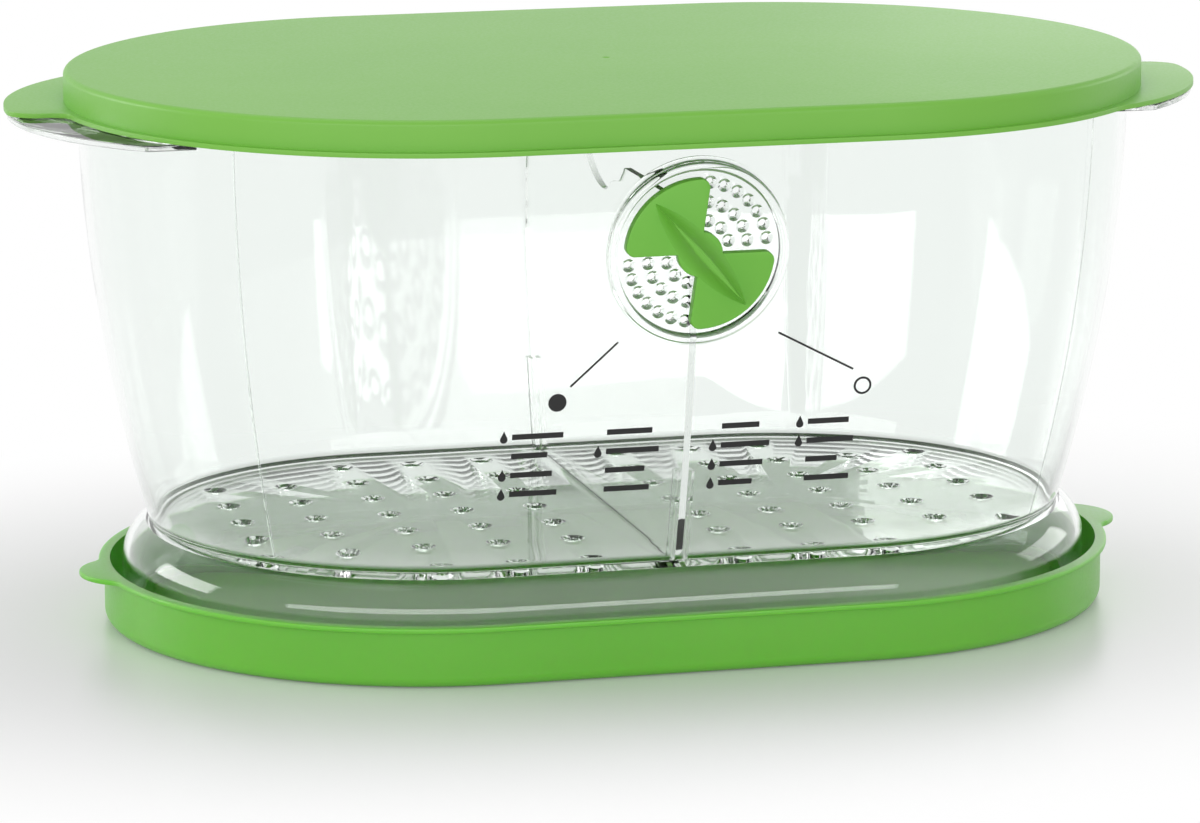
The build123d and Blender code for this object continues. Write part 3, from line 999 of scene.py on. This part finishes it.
def makeMarks():
    g = marks
    bm = bmesh.new()
    for start, end in g["pointers"]:
        addStroke(bm, start, end, g["pointerWidth"])
    post(bm, g["dotPlace"], g["signRadius"], g["signRadius"], 0, 1, 40)
    outer, inner = g["signRadius"], g["signRadius"] - g["ringWidth"]
    ring = spinRound([(inner, 0), (outer, 0), (outer, 1), (inner, 1)], 48)
    bmesh.ops.translate(ring, verts=ring.verts, vec=(*g["ringPlace"], 0))
    addInto(bm, ring)
    for left, lengths, drops in g["columns"]:
        for row, (length, hasDrop) in enumerate(zip(lengths, drops)):
            height = g["top"] - row * g["rowGap"]
            addStroke(bm, (left, height), (left + length, height), g["barHeight"], 2)
            if hasDrop:
                addDrop(bm, (left - g["dropLead"], height - g["dropSink"]), g["dropRadius"])
    layOnWall(bm)
    return finishPiece(asObject(bm, "printed_marks"), printInk, "container")


makeMarks()


# Studio: pale floor, white surroundings, soft lights

studio = {
    "floorSize": 6.0, "floorDrop": 0.0001,  # metres
    "floorWhite": "#dedede",
    "worldLight": 0.5,
    "floorGlow": 0.1,
    "fadeStart": 0.086, "fadeEnd": 0.24,  # metres from the middle, where the painted fade lightens the shadow to plain white
    "fadeSquash": 0.62,  # the shadow is longer than it is deep
}


def floorMaterial():
    # Painted board: matt white, with the object's soft shadow from the lamps, and a painted lightening of
    # that shadow that glows to plain white away from the object.
    material, tree = newMaterial("matt_white_board")
    place = addNode(tree, "ShaderNodeTexCoord")
    seen = seenDirectly(tree)
    squashed = addNode(
        tree, "ShaderNodeMapping",
        {"Scale": (studio["fadeSquash"], 1, 1)}, {"Vector": place.outputs["Object"]},
    )
    away = addNode(tree, "ShaderNodeVectorMath", {"operation": "LENGTH"}, {0: squashed.outputs["Vector"]})
    # painted shadow fade: by distance from the middle, the lit board and its shadow are mixed into a plain
    # white glow
    fade = addNode(
        tree, "ShaderNodeMapRange",
        {"From Min": studio["fadeStart"], "From Max": studio["fadeEnd"], "interpolation_type": "SMOOTHSTEP"},
        {"Value": away.outputs["Value"]},
    )
    share = addNode(
        tree, "ShaderNodeMath", {"operation": "MULTIPLY"}, {0: fade.outputs["Result"], 1: seen}
    )
    glowLevel = addNode(
        tree, "ShaderNodeMath", {"operation": "MULTIPLY", 1: studio["floorGlow"]}, {0: seen}
    )
    board = addNode(
        tree, "ShaderNodeBsdfPrincipled", {"Base Color": colour(studio["floorWhite"]), "Roughness": 0.3}
    )
    glow = addNode(
        tree, "ShaderNodeEmission", {"Color": (1, 1, 1, 1)}, {"Strength": glowLevel.outputs[0]}
    )
    lit = addNode(tree, "ShaderNodeAddShader", links={0: board.outputs[0], 1: glow.outputs[0]})
    white = addNode(tree, "ShaderNodeEmission", {"Color": (1, 1, 1, 1), "Strength": 1.0})
    both = addNode(
        tree, "ShaderNodeMixShader", links={0: share.outputs[0], 1: lit.outputs[0], 2: white.outputs[0]}
    )
    addNode(tree, "ShaderNodeOutputMaterial", links={"Surface": both.outputs[0]})
    return material


def makeFloor():
    bm = bmesh.new()
    bmesh.ops.create_grid(bm, x_segments=1, y_segments=1, size=studio["floorSize"] / 2)
    bmesh.ops.translate(bm, verts=bm.verts, vec=(0, 0, -studio["floorDrop"]))
    floor = asObject(bm, "floor")
    floor.data.materials.append(floorMaterial())


def makeWorld():
    world = bpy.data.worlds.new("studio")
    bpy.context.scene.world = world
    world.use_nodes = True
    tree = world.node_tree
    tree.nodes.clear()
    strength = addNode(
        tree, "ShaderNodeMapRange",
        {"To Min": studio["worldLight"], "To Max": 1.0}, {"Value": seenDirectly(tree)},
    )
    sky = addNode(
        tree, "ShaderNodeBackground", {"Color": (1, 1, 1, 1)}, {"Strength": strength.outputs["Result"]}
    )
    addNode(tree, "ShaderNodeOutputWorld", links={"Surface": sky.outputs[0]})


def softLight(name, place, target, size, power):
    light = bpy.data.lights.new(name, "AREA")
    light.shape = "RECTANGLE"
    light.size, light.size_y = size
    light.energy = power
    lamp = bpy.data.objects.new(name, light)
    bpy.context.scene.collection.objects.link(lamp)
    lamp.location = place
    lamp.rotation_euler = (Vector(target) - Vector(place)).to_track_quat("-Z", "Y").to_euler()


makeFloor()
makeWorld()
softLight("top_box", (-0.1, 0.2, 1.3), (0, 0, 0.1), (1.2, 0.9), 3.0)
softLight("front_box", (-0.6, -1.7, 0.5), (0, 0, 0.08), (4.0, 0.4), 18.0)
softLight("left_end_box", (-1.5, 0.75, 0.4), (-0.1, 0, 0.03), (1.0, 0.5), 7.0)
softLight("right_end_box", (1.6, 0.45, 0.4), (0.1, 0, 0.03), (1.0, 0.5), 3.0)
softLight("back_box", (0.9, 1.5, 0.42), (0.05, 0, 0.14), (0.7, 0.4), 0.8)
print("studio made")


# Camera, fitted to the outlines in the photograph

view = {
    "place": (-0.41896, -1.58128, 0.390365),  # metres
    "turn": (math.pi / 2 - 0.204, 0.0, -0.258),
    "lens": 185.965, "sensor": 36.0,
    "near": 0.05, "far": 50.0,
    "bounces": 48,  # light crosses many clear walls here
    "glossyBounces": 32,  # and runs along inside the divider's edge
}

camera = bpy.data.cameras.new("camera")
camera.sensor_width = view["sensor"]
camera.lens = view["lens"]
camera.clip_start = view["near"]
camera.clip_end = view["far"]
cameraObject = bpy.data.objects.new("camera", camera)
cameraObject.location = view["place"]
cameraObject.rotation_euler = view["turn"]
bpy.context.scene.collection.objects.link(cameraObject)
bpy.context.scene.camera = cameraObject
bpy.context.scene.view_settings.view_transform = "Standard"
bpy.context.scene.cycles.max_bounces = view["bounces"]
bpy.context.scene.cycles.transmission_bounces = view["bounces"]
bpy.context.scene.cycles.glossy_bounces = view["glossyBounces"]
